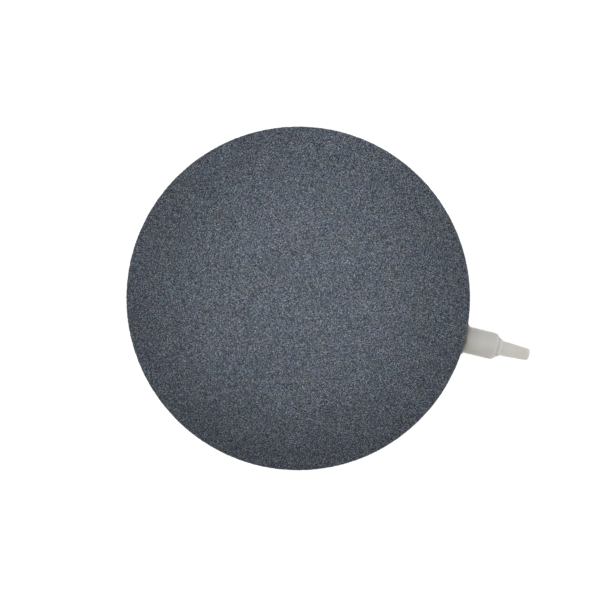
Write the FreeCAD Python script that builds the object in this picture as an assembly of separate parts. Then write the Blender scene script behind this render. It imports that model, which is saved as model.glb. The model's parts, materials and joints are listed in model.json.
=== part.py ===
"""Round air stone, 130 mm across, for blowing fine bubbles into a pond or aquarium.

Two identical pressed halves of bonded mineral grit lie face to face.  Each half has a well, spokes
and two ring channels pressed into its seam face, so that the pair encloses one flat air gallery.
Adhesive joins the halves: a ring round the rim, and an island on each land between the channels.
A resin coat seals the underside, so the air leaves through the top and the rim.
The nozzle is two mouldings.  A thick sleeve is glued into a socket in the rim, half of it in each
stone, and a tapered hose spigot is pressed through the sleeve until its ridge snaps out behind.

Frame: +Z up, origin at the disc's centre on the face that it rests on, +X along the nozzle.
All sizes are in millimetres.
"""

import FreeCAD
import Part
import math
import os
from FreeCAD import Vector

# Stone halves
disc_diameter = 130.0
half_height = 8.65  # of one pressed half, from its seam face to its outer face
rim_edge_round = 1.2  # on the outer edges, top and bottom
seam_bevel = 0.5  # on each half's rim at the seam, a 45 degree bevel

# Air gallery, half of it pressed into each seam face
channel_width = 6.0
channel_depth = 3.2
channel_corner_round = 1.2  # along the bottom of the channels
rim_land = 11.0  # solid ring between the outer channel and the rim
inner_ring_radius = 27.0  # middle of the inner channel
well_diameter = 16.0
spoke_count = 6

# Adhesive and resin
seam_film = 0.3  # thickness of the adhesive between the halves
seam_bead_recess = 0.15  # how far the rim's adhesive stays inside the rim
socket_film = 0.15  # adhesive all round the sleeve, in the socket
root_bead = 0.8  # leg of the adhesive fillet round the sleeve, where it leaves the rim
seal_thickness = 0.4  # resin coat on the underside
seal_margin = 1.2  # how far the coat's edge stays inside the rim

# Nozzle sleeve
sleeve_diameter = 10.2
sleeve_bore = 5.0
sleeve_reach = 13.9  # out of the rim
sleeve_embedded = 7.8  # into the rim
sleeve_nose_round = 2.2
sleeve_heel_round = 0.3  # on the buried end
glue_key_count = 2
glue_key_width = 1.2
glue_key_depth = 0.4
glue_key_pitch = 2.6

# Hose spigot
air_bore = 2.5
collar_diameter = 6.9
collar_length = 1.2
collar_edge_round = 0.4
land_diameter = 5.5
land_length = 2.6  # the straight stretch that the hose grips
land_root_fillet = 0.25
taper_length = 8.3
tip_diameter = 4.4
tip_round = 0.8
ridge_height = 0.3  # of the ridge that snaps out behind the sleeve
tail_length = 2.4  # past the sleeve's buried end
tail_lead_in = 0.3  # how far the tail's end is reduced on the radius
tail_clearance = 0.3  # round the ridge, in the hole to the gallery

# Places that follow from the sizes
disc_radius = disc_diameter / 2
seam_height = seal_thickness + half_height + seam_film / 2  # the middle of the seam, and the nozzle's axis
outer_ring_radius = disc_radius - rim_land - channel_width / 2
gallery_radius = disc_radius - rim_land  # outer wall of the outer channel
sleeve_radius = sleeve_diameter / 2
sleeve_heel_x = disc_radius - sleeve_embedded
sleeve_nose_x = disc_radius + sleeve_reach
socket_radius = sleeve_radius + socket_film
tail_radius = sleeve_bore / 2
ridge_radius = tail_radius + ridge_height
passage_radius = ridge_radius + tail_clearance
collar_end_x = sleeve_nose_x + collar_length
land_start_x = collar_end_x + land_root_fillet
land_end_x = land_start_x + land_length
tip_x = land_end_x + taper_length

overcut = 2.0  # how far a cutting tool runs past the faces that it opens
fillet_share = 0.9  # the most of a wall that a rounding may take
AXIS_X = Vector(1, 0, 0)
AXIS_Z = Vector(0, 0, 1)
ORIGIN = Vector(0, 0, 0)


def outline(corners):
    """A closed face in the XZ plane. Each corner is (x, z) or (x, z, radius of its rounding)."""
    points = [Vector(corner[0], 0, corner[1]) for corner in corners]
    radii = [corner[2] if len(corner) > 2 else 0 for corner in corners]
    edges = []
    entries, exits = [], []
    for index, point in enumerate(points):
        back = (points[index - 1] - point).normalize()
        ahead = (points[(index + 1) % len(points)] - point).normalize()
        half_angle = back.getAngle(ahead) / 2
        setback = radii[index] / math.tan(half_angle)
        entries.append(point + back * setback)
        exits.append(point + ahead * setback)
        if radii[index]:
            inward = (back + ahead).normalize()
            middle = point + inward * (radii[index] / math.sin(half_angle) - radii[index])
            edges.append(Part.Arc(entries[-1], middle, exits[-1]).toShape())
    for index, leaving in enumerate(exits):
        edges.append(Part.LineSegment(leaving, entries[(index + 1) % len(entries)]).toShape())
    return Part.Face(Part.Wire(Part.__sortEdges__(edges)))


def turned_on_z(corners):
    """A solid of revolution about the disc's axis."""
    return outline(corners).revolve(ORIGIN, AXIS_Z, 360)


def turned_on_nozzle(corners):
    """A solid of revolution about the nozzle's axis: corners are (distance from the disc's axis, radius)."""
    solid = outline(corners).revolve(ORIGIN, AXIS_X, 360)
    solid.translate(Vector(0, 0, seam_height))
    return solid


def rod_on_nozzle(radius, start_x, end_x):
    """A plain cylinder on the nozzle's axis."""
    return Part.makeCylinder(radius, end_x - start_x, Vector(start_x, 0, seam_height), AXIS_X)


def channel_section(middle):
    """Corners of a channel's section, open at the seam, with rounded lower corners."""
    low, high = middle - channel_width / 2, middle + channel_width / 2
    bottom_round = min(channel_corner_round, fillet_share * min(channel_width / 2, channel_depth))
    return [
        (low, -overcut),
        (low, channel_depth, bottom_round),
        (high, channel_depth, bottom_round),
        (high, -overcut),
    ]


def gallery_tools():
    """What presses the air gallery into a half whose seam face is at z = 0 and whose body is above it."""
    bottom_round = min(channel_corner_round, fillet_share * channel_depth)
    tools = [
        turned_on_z(
            [
                (0, -overcut),
                (well_diameter / 2, -overcut),
                (well_diameter / 2, channel_depth, bottom_round),
                (0, channel_depth),
            ]
        )
    ]
    tools += [turned_on_z(channel_section(radius)) for radius in (inner_ring_radius, outer_ring_radius)]
    for index in range(spoke_count):
        spoke = outline(channel_section(0)).extrude(Vector(0, outer_ring_radius, 0))
        spoke.rotate(ORIGIN, AXIS_Z, 360 * index / spoke_count - 90)
        tools.append(spoke)
    return tools


def pressed_half():
    """One half as it leaves the press, with its seam face down at z = 0."""
    blank = turned_on_z(
        [
            (0, 0),
            (disc_radius - seam_bevel, 0),
            (disc_radius, seam_bevel),
            (disc_radius, half_height, rim_edge_round),
            (0, half_height),
        ]
    )
    return blank.cut(gallery_tools())


def nozzle_hole():
    """The socket for the sleeve, and the passage from it to the gallery."""
    socket = rod_on_nozzle(socket_radius, sleeve_heel_x, disc_radius + overcut)
    passage = rod_on_nozzle(passage_radius, gallery_radius - channel_width / 2, sleeve_heel_x)
    return [socket, passage]


def upper_stone():
    stone = pressed_half()
    stone.translate(Vector(0, 0, seam_height + seam_film / 2))
    return stone.cut(nozzle_hole())


def lower_stone():
    """The same pressing turned over, below the seam."""
    return upper_stone().mirror(Vector(0, 0, seam_height), AXIS_Z)


def seam_adhesive():
    """The adhesive between the halves, as its separate pieces: the rim's ring, and the islands on the lands."""
    film_edge = disc_radius - seam_bevel
    bead_edge = disc_radius - seam_bead_recess
    bead_rise = max(bead_edge - film_edge, 0)  # the bead fills the groove between the two 45 degree bevels
    film = turned_on_z(
        [
            (0, 0),
            (min(film_edge, bead_edge), 0),
            (bead_edge, -bead_rise),
            (bead_edge, bead_rise + seam_film),
            (min(film_edge, bead_edge), seam_film),
            (0, seam_film),
        ]
    )
    tools = gallery_tools()
    for tool in tools:
        tool.translate(Vector(0, 0, seam_film))
    film = film.cut(tools)
    film.translate(Vector(0, 0, seam_height - seam_film / 2))
    pieces = film.cut(nozzle_hole()).Solids
    rim = [piece for piece in pieces if piece.BoundBox.XMin < -gallery_radius]
    islands = [piece for piece in pieces if piece.BoundBox.XMin >= -gallery_radius]
    return Part.makeCompound(rim), Part.makeCompound(islands)


def underside_seal():
    """The resin coat, bevelled at its edge."""
    radius = disc_radius - seal_margin
    return turned_on_z([(0, 0), (radius - seal_thickness, 0), (radius, seal_thickness), (0, seal_thickness)])


def nozzle_sleeve():
    """The thick moulding that is glued into the rim, with grooves that key it to the adhesive."""
    nose = min(sleeve_nose_round, fillet_share * (sleeve_radius - tail_radius))
    sleeve = turned_on_nozzle(
        [
            (sleeve_heel_x, tail_radius),
            (sleeve_heel_x, sleeve_radius, sleeve_heel_round),
            (sleeve_nose_x, sleeve_radius, nose),
            (sleeve_nose_x, tail_radius),
        ]
    )
    keys = []
    first_key_x = (sleeve_heel_x + disc_radius - (glue_key_count - 1) * glue_key_pitch) / 2
    for index in range(glue_key_count):
        middle = first_key_x + index * glue_key_pitch
        start, end = middle - glue_key_width / 2, middle + glue_key_width / 2
        ring = rod_on_nozzle(sleeve_radius + overcut, start, end)
        keys.append(ring.cut(rod_on_nozzle(sleeve_radius - glue_key_depth, start, end)))
    return sleeve.cut(keys)


def socket_bond():
    """The adhesive that holds the sleeve: a film in the socket, its keys, and a fillet outside the rim."""
    stone_envelope = Part.makeCylinder(disc_radius, 2 * seam_height, ORIGIN, AXIS_Z)
    in_socket = rod_on_nozzle(socket_radius, sleeve_heel_x, disc_radius + overcut).common(stone_envelope)
    bead_radius = socket_radius + root_bead
    bead = turned_on_nozzle(
        [
            (disc_radius - root_bead, 0),
            (disc_radius - root_bead, bead_radius),
            (disc_radius, bead_radius),
            (disc_radius + root_bead, sleeve_radius),
            (disc_radius + root_bead, 0),
        ]
    ).cut(stone_envelope)
    core = rod_on_nozzle(sleeve_radius - glue_key_depth, sleeve_heel_x, disc_radius + 2 * root_bead)
    return in_socket.fuse(bead).cut([nozzle_sleeve(), core]).removeSplitter()


def hose_spigot():
    """The thin tapered tube that the air hose is pushed over, open from end to end."""
    bore = air_bore / 2
    tail_x = sleeve_heel_x - tail_length
    collar_step = (collar_diameter - land_diameter) / 2
    root_fillet = min(land_root_fillet, fillet_share * collar_step / 2)
    edge_round = min(collar_edge_round, fillet_share * (collar_step - root_fillet))
    return turned_on_nozzle(
        [
            (tail_x, bore),
            (tail_x, tail_radius - tail_lead_in),
            (sleeve_heel_x - tail_length / 2, ridge_radius),
            (sleeve_heel_x, ridge_radius),
            (sleeve_heel_x, tail_radius),
            (sleeve_nose_x, tail_radius),
            (sleeve_nose_x, collar_diameter / 2),
            (collar_end_x, collar_diameter / 2, edge_round),
            (collar_end_x, land_diameter / 2, root_fillet),
            (land_end_x, land_diameter / 2),
            (tip_x, tip_diameter / 2, min(tip_round, fillet_share * (tip_diameter / 2 - bore))),
            (tip_x, bore),
        ]
    )


def main():
    rim_bond, land_bonds = seam_adhesive()
    pieces = {
        "upper_stone": upper_stone(),
        "lower_stone": lower_stone(),
        "rim_bond": rim_bond,
        "land_bonds": land_bonds,
        "underside_seal": underside_seal(),
        "nozzle_sleeve": nozzle_sleeve(),
        "socket_bond": socket_bond(),
        "hose_spigot": hose_spigot(),
    }
    os.makedirs("parts", exist_ok=True)
    for node, shape in pieces.items():
        shape.exportStep(f"parts/{node}.step")
        print(f"{node}: {len(shape.Solids)} solid, {shape.Volume:.1f} mm3, valid {shape.isValid()}")
    print(f"hose land: x {land_start_x:.2f} to {land_end_x:.2f}, axis height {seam_height:.2f}")


main()
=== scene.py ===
import json
import math

import bmesh
import bpy
import numpy as np
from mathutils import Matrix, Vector, noise
from mathutils.geometry import delaunay_2d_cdt


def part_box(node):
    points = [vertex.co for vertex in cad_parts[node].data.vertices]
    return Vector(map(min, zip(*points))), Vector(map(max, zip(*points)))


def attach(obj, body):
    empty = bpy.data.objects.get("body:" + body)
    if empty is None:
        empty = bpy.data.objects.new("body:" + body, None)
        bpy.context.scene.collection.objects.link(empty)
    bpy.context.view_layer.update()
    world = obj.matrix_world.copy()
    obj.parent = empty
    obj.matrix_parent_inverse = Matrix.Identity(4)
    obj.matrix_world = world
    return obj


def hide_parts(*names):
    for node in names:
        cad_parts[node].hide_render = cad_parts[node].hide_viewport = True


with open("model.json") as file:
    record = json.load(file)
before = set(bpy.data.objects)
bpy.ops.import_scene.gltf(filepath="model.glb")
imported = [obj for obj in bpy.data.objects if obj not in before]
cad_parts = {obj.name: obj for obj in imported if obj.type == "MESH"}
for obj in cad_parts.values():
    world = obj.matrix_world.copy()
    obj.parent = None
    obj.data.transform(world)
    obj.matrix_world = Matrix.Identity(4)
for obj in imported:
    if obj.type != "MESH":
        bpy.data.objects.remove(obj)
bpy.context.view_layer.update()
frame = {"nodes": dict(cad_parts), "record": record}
bpy.context.scene.view_settings.view_transform = "Standard"

mm = 0.001
cadNodes = frame["nodes"]
hoseSeat = next(mount for mount in frame["record"]["mounts"] if mount["name"] == "hose_seat")
nozzleHeight = hoseSeat["pos_m"][2]  # of the nozzle's axis over the floor
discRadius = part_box("upper_stone")[1].x
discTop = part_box("upper_stone")[1].z
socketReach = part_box("socket_bond")[1].y  # how far the adhesive round the sleeve goes from the nozzle's axis
noiseSpan = (0.3, 0.7)  # where nearly all values of a noise texture lie
elsewhere = Vector((9, 0, 0))  # moves to another stretch of the same noise


def feed(tree, node, inputs):
    # an input is a plain value, or another node's output to link
    for socket, value in inputs.items():
        if isinstance(value, bpy.types.NodeSocket):
            tree.links.new(value, node.inputs[socket])
        else:
            node.inputs[socket].default_value = value


def addNode(tree, kind, inputs=None, **settings):
    node = tree.nodes.new(kind)
    for name, value in settings.items():
        setattr(node, name, value)
    feed(tree, node, inputs or {})
    return node


def maths(tree, operation, *values):
    return addNode(tree, "ShaderNodeMath", dict(enumerate(values)), operation=operation).outputs[0]


def vectorMaths(tree, operation, *values, **named):
    inputs = {**dict(enumerate(values)), **named}
    outputs = addNode(tree, "ShaderNodeVectorMath", inputs, operation=operation).outputs
    return outputs["Value" if operation in ("DOT_PRODUCT", "LENGTH") else "Vector"]


def times(tree, *values):
    product = values[0]
    for value in values[1:]:
        product = maths(tree, "MULTIPLY", product, value)
    return product


def rangeOf(tree, value, span, results, smooth=False):
    # one range of values turned into another, and held at its ends
    low, high = span
    start, end = results
    inputs = {"Value": value, "From Min": low, "From Max": high, "To Min": start, "To Max": end}
    kind = "SMOOTHSTEP" if smooth else "LINEAR"
    return addNode(tree, "ShaderNodeMapRange", inputs, interpolation_type=kind).outputs["Result"]


def noiseOf(tree, where, scale, detail):
    return addNode(tree, "ShaderNodeTexNoise", {"Vector": where, "Scale": scale, "Detail": detail}).outputs


def lengthwise(tree, where, length, width):
    # places on which a pattern of scale 1 comes out this long along X and this wide across it
    inputs = {"Vector": where, "Scale": (1 / length, 1 / width, 1 / width)}
    return addNode(tree, "ShaderNodeMapping", inputs).outputs[0]


def tinted(tree, colour, by):
    # a colour made lighter or darker by a number
    return vectorMaths(tree, "SCALE", colour, Scale=by)


def mixed(tree, share, first, second, blend="MIX"):
    # each colour is three numbers, or another node's output
    pair = [value if isinstance(value, bpy.types.NodeSocket) else (*value, 1) for value in (first, second)]
    inputs = {"Factor": share, 6: pair[0], 7: pair[1]}  # 6 and 7 are the node's two colours
    return addNode(tree, "ShaderNodeMix", inputs, data_type="RGBA", blend_type=blend).outputs[2]


def bumpOf(tree, height, distance, strength):
    inputs = {"Height": height, "Distance": distance, "Strength": strength}
    return addNode(tree, "ShaderNodeBump", inputs).outputs["Normal"]


def reachOf(tree, where):
    # the distance from the disc's axis
    return vectorMaths(tree, "LENGTH", vectorMaths(tree, "MULTIPLY", where, (1, 1, 0)))


def newFinish(name, look):
    finish = bpy.data.materials.new(name)
    finish.use_nodes = True
    tree = finish.node_tree
    shader = tree.nodes["Principled BSDF"]
    feed(tree, shader, {"Base Color": (*look["colour"], 1), "Roughness": look["roughness"]})
    return finish, tree, shader, addNode(tree, "ShaderNodeTexCoord").outputs["Object"]


def newObject(name, data):
    made = bpy.data.objects.new(name, data)
    bpy.context.scene.collection.objects.link(made)
    return made


def meshFrom(name, points, faces, sharpAngle=None):
    mesh = bpy.data.meshes.new(name)
    mesh.from_pydata([tuple(point) for point in points], [], [tuple(face) for face in faces])
    mesh.polygons.foreach_set("use_smooth", [True] * len(mesh.polygons))
    if sharpAngle:
        mesh.set_sharp_from_angle(angle=math.radians(sharpAngle))
    mesh.update()
    return mesh


def sweptRound(name, sections, sharpAngle):
    # a closed skin over sections of equally many points, which follow each other in a full round
    ring, rounds = len(sections[0]), len(sections)
    faces = []
    for turn in range(rounds):
        here, there = turn * ring, (turn + 1) % rounds * ring
        for index in range(ring):
            ahead = (index + 1) % ring
            faces.append((here + index, there + index, there + ahead, here + ahead))
    mesh = meshFrom(name, [point for section in sections for point in section], faces, sharpAngle)
    solid = bmesh.new()
    solid.from_mesh(mesh)
    if solid.calc_volume(signed=True) < 0:  # its faces point inwards
        mesh.flip_normals()
    solid.free()
    return newObject(name, mesh)


def polar(radius, angle):
    return radius * math.cos(angle), radius * math.sin(angle)


def finishPiece(piece, finish, replaced=()):
    # the last step of every piece: its material and body, and hiding the CAD nodes that it stands for
    piece.data.materials.clear()
    piece.data.materials.append(finish)
    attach(piece, "root")
    if replaced:
        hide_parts(*replaced)
    print(f"{piece.name}: {len(piece.data.polygons)} faces")


gritLook = {
    "colour": (0.1468, 0.1527, 0.1677),
    "roughness": 0.88,
    "specular": 0.32,
    "fleck": 0.15 * mm,  # the mineral flecks of one grain
    "fleckShades": ((0.0, 0.02), (0.3, 0.06), (0.6, 0.20), (0.85, 0.45), (0.96, 0.75), (1.0, 1.0)),
    "warmth": (1.12, 1.02, 0.93),  # bright flecks are a little warmer than dark ones
    "glints": (0.90, 0.93),  # flecks glint from the first of these shares on, and fully from the second
    "glintRoughness": 0.42,
    "shadeGain": 3.62,
    "grain": 0.46 * mm,
    "grainEdge": (0.1, 0.8),  # from a grain's middle to the gap round it, in grains
    "paintedGrainShades": (1.50, 0.42),  # there and there: painted light on a grain's middle and painted shade in the gap round it
    "lowGrain": 0.4,  # how high the lowest grains stand, against the highest
    "hueAmount": 0.29,
    "hueSize": 4.0 * mm,
    "cloudShades": (0.95, 1.05),
    "cloudSpan": (0.25, 0.75),
    "cloudSize": 16 * mm,
    "paintedProudLight": 1.25,  # painted light: the grains that stand proud are painted this much paler than the rest, as if they caught more light
    "paintedRimShade": 0.81,  # painted shade: the grit darker towards the rim, as the light falls off there
    "paintedRimShadeFrom": 0.50,  # of the disc's radius
    "paintedSideLight": 0.26,  # painted light and shade: how much paler the rim is on one side and darker on the other, as the light falls unevenly
    "paintedSideLightTowards": (-0.08, 1.0, 0),
    "bump": 0.05 * mm,
    "bumpStrength": 0.8,
}


def hueDrift(tree, where, size, amount):
    # slow independent drift of red, green and blue around 1
    drift = noiseOf(tree, where, 1 / size, 2.0)["Color"]
    return vectorMaths(tree, "MULTIPLY_ADD", drift, (amount,) * 3, (1 - amount / 2,) * 3)


# its second value paints the whole finish lighter, for the proud grains' copy: painted light
def bondedGritFinish(name, paintedLightGain):
    look = gritLook
    finish, tree, shader, where = newFinish(name, look)
    flecks = addNode(tree, "ShaderNodeTexVoronoi", {"Vector": where, "Scale": 1 / look["fleck"]})
    grains = addNode(tree, "ShaderNodeTexVoronoi", {"Vector": where, "Scale": 1 / look["grain"]})
    chances = addNode(tree, "ShaderNodeSeparateColor", {"Color": flecks.outputs["Color"]}).outputs
    ramp = addNode(tree, "ShaderNodeValToRGB", {"Fac": chances["Red"]})
    stops = ramp.color_ramp.elements
    while len(stops) < len(look["fleckShades"]):
        stops.new(0.5)
    for stop, (place, shade) in zip(stops, look["fleckShades"]):
        stop.position = place
        stop.color = (*(shade**power for power in look["warmth"]), 1)
    # painted light and shade: grains lighter in their middles and darker in the gaps between them, where shade
    # falls
    gap = rangeOf(tree, grains.outputs["Distance"], look["grainEdge"], look["paintedGrainShades"])
    clouds = noiseOf(tree, where, 1 / look["cloudSize"], 3.0)["Fac"]
    cloud = rangeOf(tree, clouds, look["cloudSpan"], look["cloudShades"])
    # painted shade: darker from part of the radius out to the rim, where the light falls off
    paintedRimShadeSpan = (look["paintedRimShadeFrom"] * discRadius, discRadius)
    rim = rangeOf(tree, reachOf(tree, where), paintedRimShadeSpan, (1.0, look["paintedRimShade"]), smooth=True)
    # painted light and shade: the rim lighter on one side and darker on the other
    side = vectorMaths(tree, "DOT_PRODUCT", where, Vector(look["paintedSideLightTowards"]) / discRadius)
    cubed = times(tree, side, side, side)  # so that it shows near the rim alone
    paintedSideShading = rangeOf(tree, cubed, (-1, 1), (1 - look["paintedSideLight"], 1 + look["paintedSideLight"]))
    shade = times(tree, cloud, gap, paintedSideShading, rim, paintedLightGain * look["shadeGain"])
    drift = hueDrift(tree, where, look["hueSize"], look["hueAmount"])
    base = vectorMaths(tree, "MULTIPLY", drift, look["colour"])
    flecked = vectorMaths(tree, "MULTIPLY", base, ramp.outputs["Color"])
    relief = rangeOf(tree, grains.outputs["Distance"], (0.0, look["grainEdge"][1]), (1.0, 0.0))
    uneven = times(tree, relief, rangeOf(tree, chances["Green"], (0, 1), (look["lowGrain"], 1.0)))
    roughnesses = (look["roughness"], look["glintRoughness"])
    inputs = {
        "Base Color": tinted(tree, flecked, shade),
        "Roughness": rangeOf(tree, chances["Blue"], look["glints"], roughnesses),
        "Specular IOR Level": look["specular"],
        "Normal": bumpOf(tree, uneven, look["bump"], look["bumpStrength"]),
    }
    feed(tree, shader, inputs)
    return finish


glueLook = {
    "colour": (0.066, 0.052, 0.034),
    "roughness": 0.28,
    "coat": 0.2,
    "coatRoughness": 0.2,
    "cloudSize": 2.2 * mm,
    "cloudShades": (0.6, 1.4),
    "dustColour": (0.085, 0.094, 0.105),  # grit dust that stuck to it before it set
    "dustRoughness": 0.75,
    "dustSize": 0.35 * mm,
    "dustSpan": (0.96, 1.10),  # how high its lumps stand where the dust begins, and where it covers all
    "thinColour": (0.36, 0.335, 0.265),  # where it runs out thin over the pale sleeve
    "thinFrom": 0.4 * mm,  # outside the rim
    "thinTo": 1.8 * mm,
    "bump": 0.06 * mm,
}


def epoxyFinish():
    look = glueLook
    finish, tree, shader, where = newFinish("amberEpoxy", look)
    clouds = noiseOf(tree, where, 1 / look["cloudSize"], 4.0)["Fac"]
    specks = noiseOf(tree, where, 1 / look["dustSize"], 2.0)["Fac"]
    lumpy = maths(tree, "ADD", clouds, specks)
    dusty = rangeOf(tree, lumpy, look["dustSpan"], (0.0, 1.0), smooth=True)
    dusted = mixed(tree, dusty, look["colour"], look["dustColour"])
    shaded = tinted(tree, dusted, rangeOf(tree, clouds, noiseSpan, look["cloudShades"]))
    thinSpan = (discRadius + look["thinFrom"], discRadius + look["thinTo"])
    thinness = rangeOf(tree, reachOf(tree, where), thinSpan, (0.0, 1.0), smooth=True)
    inputs = {
        "Base Color": mixed(tree, thinness, shaded, look["thinColour"]),
        "Roughness": rangeOf(tree, dusty, (0.0, 1.0), (look["roughness"], look["dustRoughness"])),
        "Coat Weight": look["coat"],
        "Coat Roughness": look["coatRoughness"],
        "Normal": bumpOf(tree, lumpy, look["bump"], 1.0),
    }
    feed(tree, shader, inputs)
    return finish


sealLook = {
    "colour": (0.030, 0.034, 0.040),
    "roughness": 0.30,  # on the ridges of the brush strokes
    "hollowRoughness": 0.44,
    "strokeLength": 34 * mm,
    "strokeWidth": 4.0 * mm,
    "strokeShades": (0.85, 1.25),
    "waver": 2.5 * mm,  # how far the brush strokes wander from straight
    "waverSize": 26 * mm,
    "grain": 0.55 * mm,
    "grainEdge": (0.1, 0.6),
    # painted light and shade: lighter on the grit's raised middles, darker round them
    "paintedGrainShades": (1.3, 0.7),
    "grainSoftness": 0.6,
    "bump": 0.06 * mm,
    "bumpStrength": 0.8,
}


def sealFinish():
    look = sealLook
    finish, tree, shader, where = newFinish("brushedResin", look)
    bends = noiseOf(tree, where, 1 / look["waverSize"], 1.0)["Color"]
    bent = vectorMaths(tree, "MULTIPLY_ADD", bends, (2 * look["waver"],) * 3, where)
    along = lengthwise(tree, bent, look["strokeLength"], look["strokeWidth"])
    strokes = noiseOf(tree, along, 1.0, 4.0)["Fac"]
    inputs = {"Vector": where, "Scale": 1 / look["grain"], "Smoothness": look["grainSoftness"]}
    grains = addNode(tree, "ShaderNodeTexVoronoi", inputs, feature="SMOOTH_F1").outputs["Distance"]
    shade = rangeOf(tree, strokes, noiseSpan, look["strokeShades"])
    # painted light and shade: the grit lighter on its raised middles and darker round them
    grit = rangeOf(tree, grains, look["grainEdge"], look["paintedGrainShades"])
    relief = maths(tree, "SUBTRACT", strokes, grains)
    inputs = {
        "Base Color": tinted(tree, look["colour"], times(tree, shade, grit)),
        "Roughness": rangeOf(tree, strokes, noiseSpan, (look["hollowRoughness"], look["roughness"])),
        "Normal": bumpOf(tree, relief, look["bump"], look["bumpStrength"]),
    }
    feed(tree, shader, inputs)
    return finish


plasticLook = {
    # each part's glow is painted light that lifts the shade in the crease at the collar
    "sleeve": {"colour": (0.655, 0.64, 0.602), "roughness": 0.40, "glow": 1.42},
    "spigot": {"colour": (0.755, 0.725, 0.665), "roughness": 0.36, "glow": 1.23},
    "paintedLightFull": 0.35 * mm,  # painted light: how far the plastic is painted paler at full strength round the crease where the collar meets the sleeve's nose, to lift its shade
    "paintedLightReach": 0.75 * mm,
    "milkiness": 0.85,
    "lightReach": (3.5, 3.4, 3.3),  # how far red, green and blue light wander inside, in millimetres
    "cloudSize": 5 * mm,
    "cloudShades": (0.965, 1.02),
    "scratchLength": 6 * mm,
    "scratchWidth": 0.09 * mm,
    "scratchSpan": (0.35, 0.65),
    "polish": (-0.06, 0.08),  # what the scratches take from the roughness, and add to it
    "orangePeel": 0.5 * mm,
    "bump": 0.012 * mm,
    "bumpStrength": 0.6,
    "stainsAndPaintedShade": (  # stains and painted shade: a direction, where each starts and where it has faded out, and its colour
        # painted shade: darker near the stone, where its wall shades the sleeve
        ("X", discRadius, discRadius + 8.5 * mm, (0.865, 0.855, 0.83)),
        # the glue's amber stain round the sleeve's root
        ("X", discRadius + 0.6 * mm, discRadius + 2.9 * mm, (0.89, 0.87, 0.75)),
        # painted shade, a little warm: darker on the sleeve's side away from the key light
        ("Y", -5 * mm, 1 * mm, (0.92, 0.895, 0.87)),
        ("X", discRadius + 23 * mm, discRadius + 15 * mm, (1.02, 0.995, 0.97)),
    ),
}


def plasticFinish(name):
    look, own = plasticLook, plasticLook[name]
    finish, tree, shader, where = newFinish(name + "Plastic", own)
    clouds = noiseOf(tree, where, 1 / look["cloudSize"], 2.0)["Fac"]
    places = addNode(tree, "ShaderNodeSeparateXYZ", {"Vector": where}).outputs
    fromNose = maths(tree, "ABSOLUTE", maths(tree, "SUBTRACT", places["X"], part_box("nozzle_sleeve")[1].x))
    # painted light: the plastic painted paler round the crease where the collar meets the sleeve's nose, to
    # lift its shade
    glow = rangeOf(tree, fromNose, (look["paintedLightFull"], look["paintedLightReach"]), (own["glow"], 1.0), smooth=True)
    shade = times(tree, rangeOf(tree, clouds, noiseSpan, look["cloudShades"]), glow)
    colour = own["colour"]
    # multiplies in the glue's stain, the warm tint and the painted shade near the stone and on one side
    for axis, start, end, stainAndShade in look["stainsAndPaintedShade"]:
        share = rangeOf(tree, places[axis], (start, end), (1.0, 0.0), smooth=True)
        colour = mixed(tree, share, colour, stainAndShade, blend="MULTIPLY")
    along = lengthwise(tree, where, look["scratchLength"], look["scratchWidth"])
    scratches = noiseOf(tree, along, 1.0, 2.0)["Fac"]
    peel = noiseOf(tree, where, 1 / look["orangePeel"], 2.0)["Fac"]
    relief = maths(tree, "ADD", scratches, peel)
    inputs = {
        "Base Color": tinted(tree, colour, shade),
        "Roughness": rangeOf(
            tree, scratches, look["scratchSpan"], [own["roughness"] + change for change in look["polish"]]
        ),
        "Subsurface Weight": look["milkiness"],
        "Subsurface Radius": look["lightReach"],
        "Subsurface Scale": 1 * mm,
        "Normal": bumpOf(tree, relief, look["bump"], look["bumpStrength"]),
    }
    feed(tree, shader, inputs)
    return finish


stoneShape = {
    "rimRound": 1.2 * mm,  # on the outer edge
    "seamBevel": 0.5 * mm,
    "facet": 0.52 * mm,  # spacing of the surface's points where it shows
    "longestEdge": 1.3,  # round the cut-out; this and the next three are in facets
    "socketGap": 0.45,  # from the socket's notch to the nearest point
    "lastRing": 0.4,  # in from the seam
    "seamGap": 0.3,  # from the seam to the nearest point
    "hiddenFacet": 3.0 * mm,
    "coarser": 0.25,  # how fast the facets grow where the coat hides them
    "scatter": 0.34,  # how far a point strays, as a share of the spacing
    "gritHeight": 0.040 * mm,
    "swell": 0.035 * mm,
    "swellSize": 2.6 * mm,
    "poreShare": 0.02,
    "poreDepth": (0.10 * mm, 0.20 * mm),
    "sealCover": 1.2 * mm,  # what the resin coat leaves bare of the underside's edge
    "fineUnderSeal": 2.5 * mm,  # how far the fine facets go on under the coat
    "fadeIn": 1.5 * mm,  # over which the relief grows there
    "grainsUnderSeal": 0.2 * mm,
    "near": 0.005 * mm,  # how near a CAD corner lies to the surface that it is on
    "weld": 0.001 * mm,
    "sameWay": 0.85,  # the cosine between two directions that count as one
}
halves = {
    "upper_stone": {"side": 1, "stone": "pressed_upper_half", "grains": "upper_grit", "seed": 7},
    "lower_stone": {"side": -1, "stone": "pressed_lower_half", "grains": "lower_grit", "seed": 8},
}


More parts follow.
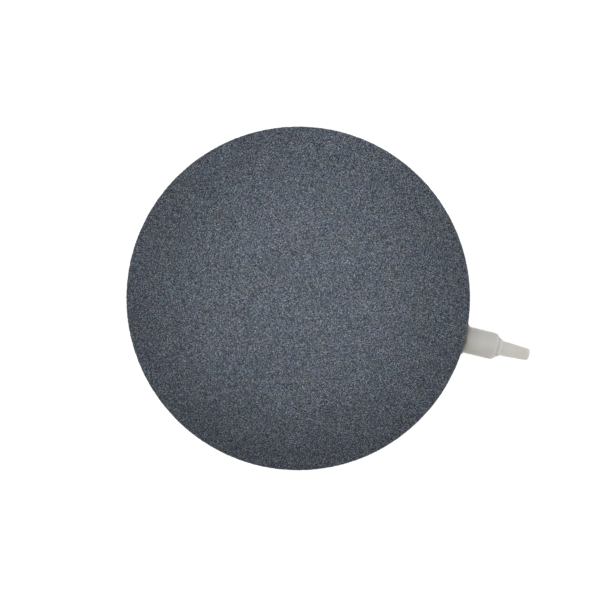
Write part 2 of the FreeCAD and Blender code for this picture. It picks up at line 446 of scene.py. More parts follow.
class RimProfile:
    # a half's outer surface as one line: over the flat face, round the edge, down the side, in at the bevel

    def __init__(self, node, side):
        low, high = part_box(node)
        self.side = side  # 1 for the upper half, -1 for the lower
        self.seamZ = low.z if side > 0 else high.z
        self.height = high.z - low.z
        self.flat = discRadius - stoneShape["rimRound"]
        self.sideTop = self.height - stoneShape["rimRound"]
        self.roundEnd = self.flat + stoneShape["rimRound"] * math.pi / 2
        self.sideEnd = self.roundEnd + self.sideTop - stoneShape["seamBevel"]
        self.end = self.sideEnd + stoneShape["seamBevel"] * math.sqrt(2)

    def at(self, along):
        # distance from the disc's axis, height over the seam face, and the outward normal's two parts
        rounding = stoneShape["rimRound"]
        turn = np.clip((along - self.flat) / rounding, 0, math.pi / 2)
        down = np.clip(along - self.roundEnd, 0, self.sideEnd - self.roundEnd)
        inward = np.clip(along - self.sideEnd, 0, None) / math.sqrt(2)
        radius = np.minimum(along, self.flat) + rounding * np.sin(turn) - inward
        height = self.height - rounding * (1 - np.cos(turn)) - down - inward
        onBevel = along > self.sideEnd
        outward = np.where(onBevel, math.sqrt(0.5), np.sin(turn))
        upward = np.where(onBevel, -math.sqrt(0.5), np.cos(turn))
        return radius, height, outward, upward

    def placeOf(self, point):
        # a point's distance from the disc's axis, and its height over the seam face
        return math.hypot(point.x, point.y), (point.z - self.seamZ) * self.side

    def along(self, point):
        # where a point of the side or the bevel lies on the line
        radius, height = self.placeOf(point)
        bevel = stoneShape["seamBevel"]
        if height >= bevel:
            return self.sideEnd - (height - bevel)
        return self.sideEnd + math.hypot(discRadius - radius, bevel - height)


def ringPoints(draw, end, spacing, scatter):
    # rings of points, each point strayed a little: their distances along the profile, and their angles
    alongs, angles = [np.zeros(1)], [np.zeros(1)]
    along = spacing(0.0)
    while along < end:
        gap, radius = spacing(along), min(along, discRadius)
        count = max(3, round(2 * math.pi * radius / gap))
        angle = draw.random() * 2 * math.pi + np.arange(count) * 2 * math.pi / count
        angles.append(angle + scatter * gap * draw.uniform(-1, 1, count) / max(radius, gap))
        alongs.append(along + scatter * gap * draw.uniform(-1, 1, count))
        along += gap * math.sqrt(0.75)  # the height of an even triangle
    return np.concatenate(alongs), np.concatenate(angles)


def filledIn(places, count):
    # triangles over flat places, inside the loop that the first of them form
    loop = list(range(count))
    area = sum(places[index - 1].cross(places[index]) for index in loop)
    if area < 0:
        loop.reverse()
    insideOnly, tolerance = 1, 1e-9
    made = delaunay_2d_cdt(places, [], [loop], insideOnly, tolerance, True)
    corners, _, faces, origins, _, owners = made
    if len(corners) != len(places):
        raise RuntimeError("the triangulation changed the places")
    sources = [origin[0] for origin in origins]
    return [[sources[index] for index in face] for face, owner in zip(faces, owners) if owner]


def isOuter(face, profile):
    # whether a CAD face lies on the outer surface, by its corners and, where it could be mistaken, its normal
    near, rounding, bevel = (stoneShape[name] for name in ("near", "rimRound", "seamBevel"))
    shared = {"flat", "round", "side", "bevel"}
    for corner in face.verts:
        radius, height = profile.placeOf(corner.co)
        out, up = radius - profile.flat, height - profile.sideTop
        onPlace = {
            "flat": abs(height - profile.height) < near,
            "round": min(out, up) > -near and abs(math.hypot(out, up) - rounding) < near,
            "side": abs(radius - discRadius) < near and bevel - near < height < profile.sideTop + near,
            "bevel": abs(discRadius - radius - bevel + height) < near and height < bevel + near,
        }
        shared = {place for place in shared if onPlace[place]}
    if not shared:
        return False
    centre = face.calc_center_median()
    inSocket = centre.x > 0 and math.hypot(centre.y, centre.z - nozzleHeight) < socketReach
    if shared != {"bevel"} and not inSocket:
        return True
    radius, height = profile.placeOf(centre)
    out = (face.normal.x * centre.x + face.normal.y * centre.y) / max(radius, near)
    normal = Vector((out, face.normal.z * profile.side))
    expected = {
        "flat": Vector((0, 1)),
        "round": Vector((radius - profile.flat, height - profile.sideTop)),
        "side": Vector((1, 0)),
        "bevel": Vector((1, -1)),
    }
    return any(normal.dot(expected[place].normalized()) > stoneShape["sameWay"] for place in shared)


def looseCopy(node):
    # a CAD node's faces in a new bmesh, joined at their shared corners
    source = cadNodes[node].data
    copied = bmesh.new()
    corners = [copied.verts.new(vertex.co) for vertex in source.vertices]
    for polygon in source.polygons:
        copied.faces.new([corners[index] for index in polygon.vertices])
    bmesh.ops.remove_doubles(copied, verts=copied.verts, dist=stoneShape["weld"])
    copied.normal_update()
    return copied


def splitLongEdges(work, longest):
    while True:
        tooLong = [edge for edge in work.edges if edge.is_boundary and edge.calc_length() > longest]
        if not tooLong:
            return
        bmesh.ops.subdivide_edges(work, edges=tooLong, cuts=1)
        bmesh.ops.triangulate(work, faces=[face for face in work.faces if len(face.verts) > 3])


def boundaryLoop(work):
    # the corners round the open edge, in order
    first = next(edge for edge in work.edges if edge.is_boundary)
    loop = [first.verts[0], first.verts[1]]
    previous = first
    while True:
        ahead = next(edge for edge in loop[-1].link_edges if edge.is_boundary and edge is not previous)
        corner = ahead.other_vert(loop[-1])
        if corner is loop[0]:
            return loop
        loop.append(corner)
        previous = ahead


def openedHalf(node, profile, name):
    # the half with its outer faces cut away, so that gallery and socket are left, and the opening's corners
    work = looseCopy(node)
    outer = [face for face in work.faces if isOuter(face, profile)]
    bmesh.ops.delete(work, geom=outer, context="FACES")
    splitLongEdges(work, stoneShape["facet"] * stoneShape["longestEdge"])
    loop = boundaryLoop(work)
    openEdges = sum(edge.is_boundary for edge in work.edges)
    print(f"{name}: {len(outer)} outer faces cut away, {len(loop)} corners round the opening of {openEdges}")
    if len(loop) != openEdges:
        raise RuntimeError(f"{name}: some of the outer faces were not cut away")
    return work, loop


def gritSkin(profile, loop, seed):
    # the uneven outer surface's points, and for each its distance along the profile and its angle
    shape, facet = stoneShape, stoneShape["facet"]
    draw = np.random.default_rng(seed)
    coated = profile.side < 0
    fineFrom = discRadius - shape["sealCover"] - shape["fineUnderSeal"] if coated else 0.0

    def spacing(along):
        return min(facet + shape["coarser"] * max(fineFrom - along, 0.0), shape["hiddenFacet"])

    alongs, angles = ringPoints(draw, profile.end - shape["lastRing"] * facet, spacing, shape["scatter"])
    radii, heights, outward, upward = profile.at(alongs)
    x, y = radii * np.cos(angles), radii * np.sin(angles)
    z = profile.seamZ + profile.side * heights
    overBevel = shape["seamBevel"] + 2 * shape["near"]
    rimCorners = [corner.co for corner in loop if profile.placeOf(corner.co)[1] > overBevel]
    notch = max(math.hypot(corner.y, corner.z - nozzleHeight) for corner in rimCorners)
    kept = (np.hypot(y, z - nozzleHeight) > notch + shape["socketGap"] * facet) | (x < 0)
    kept &= alongs < profile.end - shape["seamGap"] * facet
    points = np.column_stack([x, y, z])[kept]
    alongs, angles, outward, upward = alongs[kept], angles[kept], outward[kept], upward[kept]
    normals = np.column_stack([outward * np.cos(angles), outward * np.sin(angles), upward * profile.side])

    height = shape["gritHeight"] * draw.standard_normal(len(points))
    pores = draw.random(len(points)) < shape["poreShare"]
    height[pores] -= draw.uniform(*shape["poreDepth"], pores.sum())
    height += shape["swell"] * np.array([noise.noise(Vector(point) / shape["swellSize"]) for point in points])
    if coated:
        height *= np.clip((alongs - fineFrom) / shape["fadeIn"], 0, 1)
    return points + normals * height[:, None], alongs, angles


def dressStone(node, half):
    # keeps the half's gallery and socket from CAD, and gives it a new outer surface of fine uneven grit
    profile = RimProfile(node, half["side"])
    work, loop = openedHalf(node, profile, half["stone"])
    points, alongs, angles = gritSkin(profile, loop, half["seed"])
    edge = [(profile.along(corner.co), math.atan2(corner.co.y, corner.co.x)) for corner in loop]
    places = [Vector(polar(along, angle)) for along, angle in edge + list(zip(alongs, angles))]
    skin = filledIn(places, len(loop))
    if half["side"] < 0:
        skin = [face[::-1] for face in skin]

    work.verts.index_update()
    corners = [vertex.co.copy() for vertex in work.verts]
    inner = [[vertex.index for vertex in face.verts] for face in work.faces]
    known = [vertex.index for vertex in loop] + [len(corners) + index for index in range(len(points))]
    outer = [[known[index] for index in face] for face in skin]
    corners += [Vector(point) for point in points]
    work.free()
    mesh = meshFrom(half["stone"], corners, inner + outer)
    mesh.polygons.foreach_set("use_smooth", [False] * len(inner) + [True] * len(outer))
    return newObject(half["stone"], mesh), corners, outer


def grainBed(half, corners, faces):
    # the part of the outer surface that the coat leaves bare, for the grains to be scattered on
    hidden = discRadius - stoneShape["sealCover"] - stoneShape["grainsUnderSeal"] if half["side"] < 0 else 0.0
    bare = [face for face in faces if max(math.hypot(*corners[index][:2]) for index in face) > hidden]
    used = sorted({index for face in bare for index in face})
    renumbered = {index: place for place, index in enumerate(used)}
    bareFaces = [[renumbered[index] for index in face] for face in bare]
    return meshFrom(half["grains"], [corners[index] for index in used], bareFaces)


gritGrains = {
    "Grain spacing": 0.62 * mm,
    "Densest": 2.0e6,  # grains to the square metre, before the spacing thins them out
    "Grain width": 0.34 * mm,
    "Narrowest": 0.55,  # in grain widths
    "Widest": 1.25,
    "Sink": 0.035 * mm,  # how deep a grain's middle lies
}


def newTree(name, inputs):
    # a tree that changes a geometry; its other inputs are given as names and kinds
    tree = bpy.data.node_groups.new(name, "GeometryNodeTree")
    for label, kind in {"Geometry": "Geometry", **inputs}.items():
        tree.interface.new_socket(label, in_out="INPUT", socket_type="NodeSocket" + kind)
    tree.interface.new_socket("Geometry", in_out="OUTPUT", socket_type="NodeSocketGeometry")
    return tree, addNode(tree, "NodeGroupInput").outputs


def endTree(tree, geometry, smooth, finish):
    plain = addNode(tree, "GeometryNodeRealizeInstances", {"Geometry": geometry}).outputs[0]
    inputs = {"Geometry": plain, "Shade Smooth": smooth}
    shaded = addNode(tree, "GeometryNodeSetShadeSmooth", inputs).outputs[0]
    painted = addNode(tree, "GeometryNodeSetMaterial", {"Geometry": shaded, "Material": finish}).outputs[0]
    addNode(tree, "NodeGroupOutput", {"Geometry": painted})
    return tree


def madeByTree(name, mesh, tree, values):
    # runs a node tree on a mesh and keeps the result as a plain mesh
    carrier = newObject(name + ".carrier", mesh)
    modifier = carrier.modifiers.new("tree", "NODES")
    modifier.node_group = tree
    for item in tree.interface.items_tree:
        if item.in_out == "INPUT" and item.name in values:
            modifier[item.identifier] = values[item.name]
    depsgraph = bpy.context.evaluated_depsgraph_get()
    result = bpy.data.meshes.new_from_object(carrier.evaluated_get(depsgraph))
    bpy.data.objects.remove(carrier)
    result.name = name
    return newObject(name, result)


def gritScatterTree():
    inputs = {**dict.fromkeys(gritGrains, "Float"), "Seed": "Int", "Finish": "Material"}
    tree, given = newTree("scatteredGrit", inputs)
    inputs = {
        "Mesh": given["Geometry"],
        "Distance Min": given["Grain spacing"],
        "Density Max": given["Densest"],
        "Seed": given["Seed"],
    }
    spread = addNode(tree, "GeometryNodeDistributePointsOnFaces", inputs, distribute_method="POISSON").outputs
    inward = vectorMaths(tree, "SCALE", spread["Normal"], Scale=times(tree, given["Sink"], -1.0))
    sunk = addNode(tree, "GeometryNodeSetPosition", {"Geometry": spread["Points"], "Offset": inward})
    kinds = addNode(tree, "GeometryNodeGeometryToInstance")
    for segments, rings in ((4, 2), (5, 2), (4, 3)):  # three angular grains of 8, 10 and 16 triangles
        inputs = {"Segments": segments, "Rings": rings, "Radius": 0.5}
        feed(tree, kinds, {"Geometry": addNode(tree, "GeometryNodeMeshUVSphere", inputs).outputs["Mesh"]})
    # a random value's lowest and highest are its sockets 0 and 1 for vectors, 4 and 5 for whole numbers
    kind = addNode(tree, "FunctionNodeRandomValue", {4: 0, 5: 2, "Seed": given["Seed"]}, data_type="INT")
    inputs = {1: (2 * math.pi,) * 3, "Seed": given["Seed"]}
    turn = addNode(tree, "FunctionNodeRandomValue", inputs, data_type="FLOAT_VECTOR")
    inputs = {0: given["Narrowest"], 1: given["Widest"], "Seed": given["Seed"]}
    stretch = addNode(tree, "FunctionNodeRandomValue", inputs, data_type="FLOAT_VECTOR")
    inputs = {
        "Points": sunk.outputs["Geometry"],
        "Instance": kinds.outputs["Instances"],
        "Pick Instance": True,
        "Instance Index": kind.outputs[2],
        "Rotation": turn.outputs[0],
        "Scale": vectorMaths(tree, "SCALE", stretch.outputs[0], Scale=given["Grain width"]),
    }
    placed = addNode(tree, "GeometryNodeInstanceOnPoints", inputs).outputs["Instances"]
    return endTree(tree, placed, False, given["Finish"])


seamBead = {
    "Thickness": 0.34 * mm,
    "Sides": 12,
    "Lump": 3.2,  # how much the lumps vary the thickness
    "Lump size": 3.4 * mm,
    "Grain": 0.22 * mm,
    "Grain size": mm / 3,
    "Inset": 0.50 * mm,  # of the bead's middle from the rim
    "Stray": 0.30 * mm,  # how far it wanders in and out, and half of it up and down
    "Stray size": 6 * mm,
    "Step": 0.4 * mm,
}


def beadTree():
    # sweeps a round section of uneven thickness along a line
    kinds = {"Sides": "Int", "Finish": "Material"}
    kinds.update(dict.fromkeys(("Thickness", "Lump", "Lump size", "Grain", "Grain size"), "Float"))
    tree, given = newTree("sweptBead", kinds)
    place = addNode(tree, "GeometryNodeInputPosition").outputs[0]

    def unevenness(size, detail):
        noisy = noiseOf(tree, place, maths(tree, "DIVIDE", 1.0, given[size]), detail)["Fac"]
        return maths(tree, "SUBTRACT", noisy, 0.5)

    line = addNode(tree, "GeometryNodeMeshToCurve", {"Mesh": given["Geometry"]}).outputs["Curve"]
    inputs = {"Resolution": given["Sides"], "Radius": given["Thickness"]}
    section = addNode(tree, "GeometryNodeCurvePrimitiveCircle", inputs).outputs["Curve"]
    scale = maths(tree, "MULTIPLY_ADD", unevenness("Lump size", 2.0), given["Lump"], 1.0)
    inputs = {"Curve": line, "Profile Curve": section, "Scale": scale, "Fill Caps": True}
    swept = addNode(tree, "GeometryNodeCurveToMesh", inputs).outputs["Mesh"]
    outwards = addNode(tree, "GeometryNodeInputNormal").outputs["Normal"]
    height = times(tree, unevenness("Grain size", 1.0), given["Grain"])
    push = vectorMaths(tree, "SCALE", outwards, Scale=height)
    rough = addNode(tree, "GeometryNodeSetPosition", {"Geometry": swept, "Offset": push}).outputs["Geometry"]
    return endTree(tree, rough, True, given["Finish"])


def seamLine():
    # round the seam, from one side of the nozzle's socket to the other
    seamZ = (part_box("upper_stone")[0].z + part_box("lower_stone")[1].z) / 2
    radius = discRadius - seamBead["Inset"]
    start = math.asin(socketReach / radius)
    count = round((2 * math.pi - 2 * start) * radius / seamBead["Step"])
    points = []
    for angle in np.linspace(start, 2 * math.pi - start, count):
        place = Vector((math.cos(angle), math.sin(angle), 0)) * radius
        inOut = seamBead["Stray"] * noise.noise(place / seamBead["Stray size"])
        upDown = seamBead["Stray"] / 2 * noise.noise(place / seamBead["Stray size"] + elsewhere)
        points.append(place * (1 + inOut / radius) + Vector((0, 0, seamZ + upDown)))
    mesh = bpy.data.meshes.new("seam")
    edges = [(index, index + 1) for index in range(count - 1)]
    mesh.from_pydata([tuple(point) for point in points], edges, [])
    return mesh


rootFillet = {
    "onSleeve": (1.2 * mm, 1.9 * mm),  # how far the glue runs out along the sleeve, above it and beside it
    "onRim": (0.9 * mm, 1.5 * mm),  # and over the rim
    "uneven": 0.32,
    "unevenSize": 2.6 * mm,
    "belly": (0.0 * mm, 0.3 * mm),  # how far it bulges there and there
    "buried": 0.35 * mm,  # how deep the fillet's hidden corner lies
    "footDepth": 0.1 * mm,  # how deep its two edges end, in the stone and in the sleeve
    "headDepth": 0.02 * mm,
    "segments": 220,
    "steps": 12,
    "rough": 0.10 * mm,
    "roughSize": 0.45 * mm,
    "sharpAngle": 70,
}


def rootGlue():
    # the fillet of glue where the sleeve leaves the curved rim, closed inside the stone and the sleeve
    shape = rootFillet
    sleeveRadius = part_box("nozzle_sleeve")[1].y

    def rimAt(radius, angle):
        return math.sqrt(discRadius**2 - (radius * math.cos(angle)) ** 2)

    sections = []
    for segment in range(shape["segments"]):
        angle = 2 * math.pi * segment / shape["segments"]
        sideways = math.cos(angle) ** 2
        outLeg, rimLeg, belly = (
            above + (beside - above) * sideways
            for above, beside in (shape["onSleeve"], shape["onRim"], shape["belly"])
        )
        around = Vector((0, math.cos(angle), math.sin(angle))) * sleeveRadius
        outLeg *= 1 + shape["uneven"] * noise.noise(around / shape["unevenSize"])
        rimLeg *= 1 + shape["uneven"] * noise.noise(around / shape["unevenSize"] + elsewhere)
        footRadius, headRadius = sleeveRadius + rimLeg, sleeveRadius - shape["headDepth"]
        foot = Vector((rimAt(footRadius, angle) - shape["footDepth"], footRadius))
        head = Vector((rimAt(sleeveRadius, angle) + outLeg, headRadius))
        outwards = Vector((foot.y - head.y, head.x - foot.x)).normalized()
        profile = []
        for step in range(shape["steps"] + 1):
            share = step / shape["steps"]
            place = foot.lerp(head, share)
            grain = noise.noise((around + Vector((place.x, 0, 0))) / shape["roughSize"])
            height = math.sin(math.pi * share) * (belly + shape["rough"] * grain)
            profile.append(place + outwards * height)
        profile.append(Vector((foot.x - shape["buried"], sleeveRadius - shape["buried"])))
        sections.append([])
        for x, radius in profile:
            y, z = polar(radius, angle)
            sections[-1].append((x, y, nozzleHeight + z))
    return sweptRound("root_glue_fillet", sections, shape["sharpAngle"])


coatShape = {
    "facet": 0.62 * mm,
    "hiddenFacet": 4 * mm,
    "hiddenScatter": 0.2,
    "hiddenInset": 3 * mm,  # of the points on its hidden side from its edge
    "edgeInset": 0.225 * mm,
    "edgeWave": 0.315 * mm,
    "edgeWaveSize": 5 * mm,
    "edgeRipple": 0.09 * mm,
    "edgeRippleSize": 1.25 * mm,
    "meniscus": 0.6 * mm,
    "meniscusRings": (0.06, 0.22, 0.50, 0.95),  # as shares of the meniscus
    "meniscusGap": 0.186 * mm,  # from the meniscus to the first point inside it
    "gritHeight": 0.030 * mm,
    "strokeHeight": 0.06 * mm,
    "strokeLength": 24 * mm,
    "strokeWidth": 4.5 * mm,
    "strokeShare": 0.5,  # the more, the wider the strokes stand against the hollows between them
    "sharpAngle": 60,
    "seed": 23,
}


def resinCoat():
    shape = coatShape
    low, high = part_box("underside_seal")
    thickness, reach = high.z - low.z, high.x
    draw = np.random.default_rng(shape["seed"])

    def edgeAt(angle):
        place = Vector((*polar(reach, angle), 0))
        wave = shape["edgeWave"] * noise.noise(place / shape["edgeWaveSize"])
        ripple = shape["edgeRipple"] * noise.noise(place / shape["edgeRippleSize"])
        return reach - shape["edgeInset"] - wave - ripple

    count = round(2 * math.pi * reach / shape["facet"])
    rimAngles = np.arange(count) * 2 * math.pi / count
    edges = [edgeAt(angle) for angle in rimAngles]
    rim = [Vector(polar(edge, angle)) for edge, angle in zip(edges, rimAngles)]
    alongs, angles = ringPoints(draw, reach, lambda along: shape["facet"], stoneShape["scatter"])
    under = []  # the points of its lower side, each with how far inside the edge it lies
    for inside in (share * shape["meniscus"] for share in shape["meniscusRings"]):
        under += [(*polar(edge - inside, angle), inside) for edge, angle in zip(edges, rimAngles)]
    for along, angle in zip(alongs, angles):
        inside = edgeAt(angle) - along
        if inside > shape["meniscus"] + shape["meniscusGap"]:
            under.append((*polar(along, angle), inside))
    lumps = np.abs(draw.standard_normal(len(under))) * shape["gritHeight"]
    points = [(corner.x, corner.y, high.z) for corner in rim]
    for (x, y, inside), lump in zip(under, lumps):
        stroke = noise.noise(Vector((x / shape["strokeLength"], y / shape["strokeWidth"], 0.0)))
        stroke = max(stroke + shape["strokeShare"], 0)
        part = min(inside / shape["meniscus"], 1.0)
        lift = thickness * (1 - math.sqrt(1 - (1 - part) ** 2))
        points.append((x, y, low.z + lift + part * (lump + shape["strokeHeight"] * stroke)))
    lower = [face[::-1] for face in filledIn(rim + [Vector((x, y)) for x, y, _ in under], count)]

    end = reach - shape["hiddenInset"]
    alongs, angles = ringPoints(draw, end, lambda along: shape["hiddenFacet"], shape["hiddenScatter"])
    hidden = [Vector(polar(along, angle)) for along, angle in zip(alongs, angles)]
    known = list(range(count)) + [len(points) + index for index in range(len(hidden))]
    upper = [[known[index] for index in face] for face in filledIn(rim + hidden, count)]
    points += [(place.x, place.y, high.z) for place in hidden]
    return newObject("resin_coat", meshFrom("resin_coat", points, lower + upper, shape["sharpAngle"]))


mouldShape = {
    "segments": 160,
    "cornerSteps": 7,
    "longestStep": 0.8 * mm,
    "flashHeight": 0.05 * mm,
    "flashWidth": 0.16 * mm,  # to each side of the parting line
    "flashSteps": (-1.6, -1, -0.5, 0, 0.5, 1, 1.6),  # of the points across it, in such widths
    "flashClear": 1.2,  # how much wider a stretch the even segments leave free for them
    "wobble": 0.015 * mm,
    "wobbleSize": 4 * mm,
    "sharpAngle": 38,
}
sleeveShape = {
    "bore": 5.0 * mm,
    "noseRound": 2.2 * mm,
    "heelRound": 0.3 * mm,
    "lipRound": 0.25 * mm,
    "keys": 2,
    "keyWidth": 1.2 * mm,
    "keyDepth": 0.4 * mm,
    "keyPitch": 2.6 * mm,
    "flashFrom": 3.0 * mm,  # the radius from which on the parting line shows
}
spigotShape = {
    "bore": 2.5 * mm,
    "collar": 6.9 * mm,
    "collarLength": 1.2 * mm,
    "collarRound": 0.4 * mm,
    "flareRise": 0.70 * mm,  # how the collar spreads over the sleeve's rounded nose
    "flareBack": 0.45 * mm,
    "flareFoot": 0.13 * mm,
    "flareEnd": 0.18 * mm,
    "flareRound": 0.45 * mm,
    "land": 5.5 * mm,
    "landLength": 2.6 * mm,
    "landFillet": 0.25 * mm,
    "tip": 4.4 * mm,
    "tipRound": 0.8 * mm,
    "ridgeHeight": 0.3 * mm,
    "tailLead": 0.3 * mm,
    "flashFrom": 1.625 * mm,
}


def roundedOutline(corners):
    # a closed outline in (distance along the nozzle, radius); a third number rounds the corner
    outline = []
    for index, (along, radius, *rounds) in enumerate(corners):
        point = Vector((along, radius))
        if not rounds:
            outline.append(point)
            continue
        back = (Vector(corners[index - 1][:2]) - point).normalized()
        ahead = (Vector(corners[(index + 1) % len(corners)][:2]) - point).normalized()
        half = back.angle(ahead) / 2
        centre = point + (back + ahead).normalized() * rounds[0] / math.sin(half)
        start = point + back * rounds[0] / math.tan(half) - centre
        end = point + ahead * rounds[0] / math.tan(half) - centre
        sweep = start.angle(end)
        for step in range(mouldShape["cornerSteps"] + 1):
            share = step / mouldShape["cornerSteps"]
            arm = start * math.sin((1 - share) * sweep) + end * math.sin(share * sweep)
            outline.append(centre + arm / math.sin(sweep))
    return outline


def subdivided(outline, longest):
    dense = []
    for index, point in enumerate(outline):
        ahead = outline[(index + 1) % len(outline)]
        parts = max(1, math.ceil((ahead - point).length / longest))
        dense += [point.lerp(ahead, part / parts) for part in range(parts)]
    return dense


def mouldedAbout(name, corners, flashFrom):
    # turns an outline about the nozzle's axis, with the mould's parting line along both sides
    shape = mouldShape
    outline = subdivided(roundedOutline(corners), shape["longestStep"])
    flashAngle = shape["flashWidth"] / max(point.y for point in outline)
    fine = [step * flashAngle for step in shape["flashSteps"]]
    coarse = [index * 2 * math.pi / shape["segments"] for index in range(shape["segments"])]
    coarse = [angle for angle in coarse if abs(math.sin(angle)) > shape["flashClear"] * max(fine)]
    angles = sorted(coarse + [step % (2 * math.pi) for step in fine] + [math.pi + step for step in fine])
    sections = []
    for angle in angles:
        ridge = shape["flashHeight"] * max(0.0, 1 - (math.sin(angle) / flashAngle) ** 2)
        sections.append([])
        for along, radius in outline:
            place = Vector((along, *polar(radius, angle)))
            out = shape["wobble"] * noise.noise(place / shape["wobbleSize"])
            if radius > flashFrom and along > discRadius:
                out += ridge
            y, z = polar(radius + out, angle)
            sections[-1].append((along, y, nozzleHeight + z))
    return sweptRound(name, sections, shape["sharpAngle"])


def sleeveMoulding():
    shape = sleeveShape
    low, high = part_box("nozzle_sleeve")
    heel, nose, radius, bore = low.x, high.x, high.y, shape["bore"] / 2
    corners = [(heel, bore), (heel, radius, shape["heelRound"])]
    firstKey = (heel + discRadius - (shape["keys"] - 1) * shape["keyPitch"]) / 2
    for index in range(shape["keys"]):
        middle = firstKey + index * shape["keyPitch"]
        start, end = middle - shape["keyWidth"] / 2, middle + shape["keyWidth"] / 2
        floor = radius - shape["keyDepth"]
        corners += [(start, radius), (start, floor), (end, floor), (end, radius)]
    corners += [(nose, radius, shape["noseRound"]), (nose, bore, shape["lipRound"])]
    return mouldedAbout("sleeve_moulding", corners, shape["flashFrom"])


def spigotMoulding():
    shape = spigotShape
    low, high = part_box("hose_spigot")
    tail, tip, bore, collar = low.x, high.x, shape["bore"] / 2, shape["collar"] / 2
    heel, nose = (corner.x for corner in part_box("nozzle_sleeve"))
    shank = sleeveShape["bore"] / 2
    ridge = shank + shape["ridgeHeight"]
    collarEnd = nose + shape["collarLength"]
    landEnd = collarEnd + shape["landFillet"] + shape["landLength"]
    corners = [
        (tail, bore),
        (tail, shank - shape["tailLead"]),
        ((tail + heel) / 2, ridge),
        (heel, ridge),
        (heel, shank),
        (nose, shank),
        (nose - shape["flareBack"], collar + shape["flareRise"]),
        (nose + shape["flareEnd"], collar + shape["flareFoot"], shape["flareRound"]),
        (collarEnd, collar, shape["collarRound"]),
        (collarEnd, shape["land"] / 2, shape["landFillet"]),
        (landEnd, shape["land"] / 2),
        (tip, shape["tip"] / 2, shape["tipRound"]),
        (tip, bore),
    ]
    return mouldedAbout("spigot_moulding", corners, shape["flashFrom"])


cameraSetup = {
    "overDisc": 450 * mm,  # from the lens to the disc's top face
    "frameWidth": 226.4 * mm,  # what the view spans at that face
    "turn": 13.75,  # degrees that the view is turned about the vertical
    "offset": (0.664 * mm, -0.600 * mm),  # of the view's centre from the disc's, to its right, and up
    "nearest": 10 * mm,
    "sensor": 36.0,
}
lightSetup = {
    "ambient": (1.08, 0.54),  # at the horizon, and straight above
    "ambientColour": (0.97, 0.985, 1.0),
    "keyHeight": 620 * mm,
    "keyReach": 77 * mm,  # where the key light has faded out on the disc's plane
    "keyShift": (2.4 * mm, 8.0 * mm),  # to the view's right, and up
    "keySize": 45 * mm,
    "keyPower": 0.45,  # what it gives straight below
}
floorSetup = {
    "half": 1600 * mm,  # of its width
    "colour": 0.80,
    "cameraGlow": 0.86,  # what the camera sees of it: a glow, and a share of the light that falls on it
    "cameraShade": 0.34,
}


def inView(offset):
    # a place over the disc, from how far it lies to the view's right, and up
    turn = math.radians(cameraSetup["turn"])
    right, up = Vector((math.cos(turn), math.sin(turn), 0)), Vector((-math.sin(turn), math.cos(turn), 0))
    return right * offset[0] + up * offset[1]


def makeCamera():
    setup = cameraSetup
    data = bpy.data.cameras.new("lookingDown")
    data.sensor_width = setup["sensor"]
    data.lens = setup["sensor"] * setup["overDisc"] / setup["frameWidth"]
    data.clip_start = setup["nearest"]
    camera = newObject("lookingDown", data)
    camera.location = inView(setup["offset"])
    camera.location.z = discTop + setup["overDisc"]
    camera.rotation_euler = (0, 0, math.radians(setup["turn"]))
    bpy.context.scene.camera = camera


def whenSeen(tree):
    # 1 for what the camera sees straight, mirrored or through glass
    path = addNode(tree, "ShaderNodeLightPath").outputs
    mirrored = maths(tree, "MAXIMUM", path["Is Camera Ray"], path["Is Glossy Ray"])
    return maths(tree, "MAXIMUM", mirrored, path["Is Transmission Ray"])


def makeWorld():
    world = bpy.data.worlds.new("studio")
    world.use_nodes = True
    tree = world.node_tree
    tree.nodes.clear()
    heading = addNode(tree, "ShaderNodeTexCoord").outputs["Generated"]
    upward = addNode(tree, "ShaderNodeSeparateXYZ", {"Vector": heading}).outputs["Z"]
    inputs = {
        "Color": (*lightSetup["ambientColour"], 1),
        "Strength": rangeOf(tree, upward, (0, 1), lightSetup["ambient"]),
    }
    soft = addNode(tree, "ShaderNodeBackground", inputs).outputs[0]
    white = addNode(tree, "ShaderNodeBackground", {"Color": (1, 1, 1, 1), "Strength": 1.0}).outputs[0]
    either = addNode(tree, "ShaderNodeMixShader", {0: whenSeen(tree), 1: soft, 2: white}).outputs[0]
    addNode(tree, "ShaderNodeOutputWorld", {"Surface": either})
    bpy.context.scene.world = world


def makeLights():
    setup = lightSetup
    data = bpy.data.lights.new("key", "SPOT")
    data.shadow_soft_size = setup["keySize"]
    data.spot_blend = 1.0
    data.spot_size = 2 * math.atan(setup["keyReach"] / setup["keyHeight"])
    # a spot of P watts gives P / (4 pi^2 h^2) straight below, which is to be keyPower
    data.energy = setup["keyPower"] * 4 * math.pi**2 * setup["keyHeight"] ** 2
    key = newObject("key", data)
    key.location = inView(setup["keyShift"])
    key.location.z = discTop + setup["keyHeight"]
    key.visible_camera = False


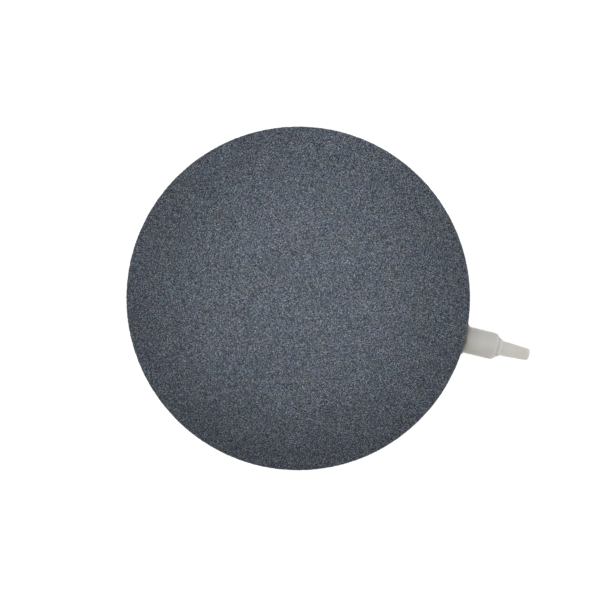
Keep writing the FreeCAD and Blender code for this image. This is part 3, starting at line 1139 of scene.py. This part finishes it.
def makeFloor():
    setup = floorSetup
    half = setup["half"]
    corners = [(-half, -half, 0), (half, -half, 0), (half, half, 0), (-half, half, 0)]
    finish = bpy.data.materials.new("paleFloor")
    finish.use_nodes = True
    tree = finish.node_tree
    tree.nodes.clear()

    def matt(shade):
        return addNode(tree, "ShaderNodeBsdfDiffuse", {"Color": (shade, shade, shade, 1)}).outputs[0]

    inputs = {"Color": (1, 1, 1, 1), "Strength": setup["cameraGlow"]}
    glow = addNode(tree, "ShaderNodeEmission", inputs).outputs[0]
    bright = addNode(tree, "ShaderNodeAddShader", {0: glow, 1: matt(setup["cameraShade"])}).outputs[0]
    inputs = {0: whenSeen(tree), 1: matt(setup["colour"]), 2: bright}
    either = addNode(tree, "ShaderNodeMixShader", inputs).outputs[0]
    addNode(tree, "ShaderNodeOutputMaterial", {"Surface": either})
    floor = newObject("floor", meshFrom("floor", corners, [(0, 1, 2, 3)]))
    floor.data.materials.append(finish)


makeCamera()
makeWorld()
makeLights()
makeFloor()
print("camera, light and floor are in place")

grit = bondedGritFinish("bondedGrit", 1.0)
# the proud grains get a lighter copy of the grit's finish: painted light
paintedLitGrit = bondedGritFinish("paintedLitGrit", gritLook["paintedProudLight"])
epoxy = epoxyFinish()
scatter = gritScatterTree()
for node, half in halves.items():
    stone, corners, skin = dressStone(node, half)
    finishPiece(stone, grit, [node])
    values = {**gritGrains, "Seed": half["seed"], "Finish": paintedLitGrit}
    grains = madeByTree(half["grains"], grainBed(half, corners, skin), scatter, values)
    finishPiece(grains, paintedLitGrit)
print("the stones are dressed")

seam = madeByTree("seam_squeeze_out", seamLine(), beadTree(), {**seamBead, "Finish": epoxy})
finishPiece(seam, epoxy)
finishPiece(rootGlue(), epoxy)
for node in ("rim_bond", "land_bonds", "socket_bond"):
    cadNodes[node].data.materials.clear()
    cadNodes[node].data.materials.append(epoxy)
print("the adhesive is in place")

finishPiece(resinCoat(), sealFinish(), ["underside_seal"])
finishPiece(sleeveMoulding(), plasticFinish("sleeve"), ["nozzle_sleeve"])
finishPiece(spigotMoulding(), plasticFinish("spigot"), ["hose_spigot"])
print("the coat and the nozzle are finished")
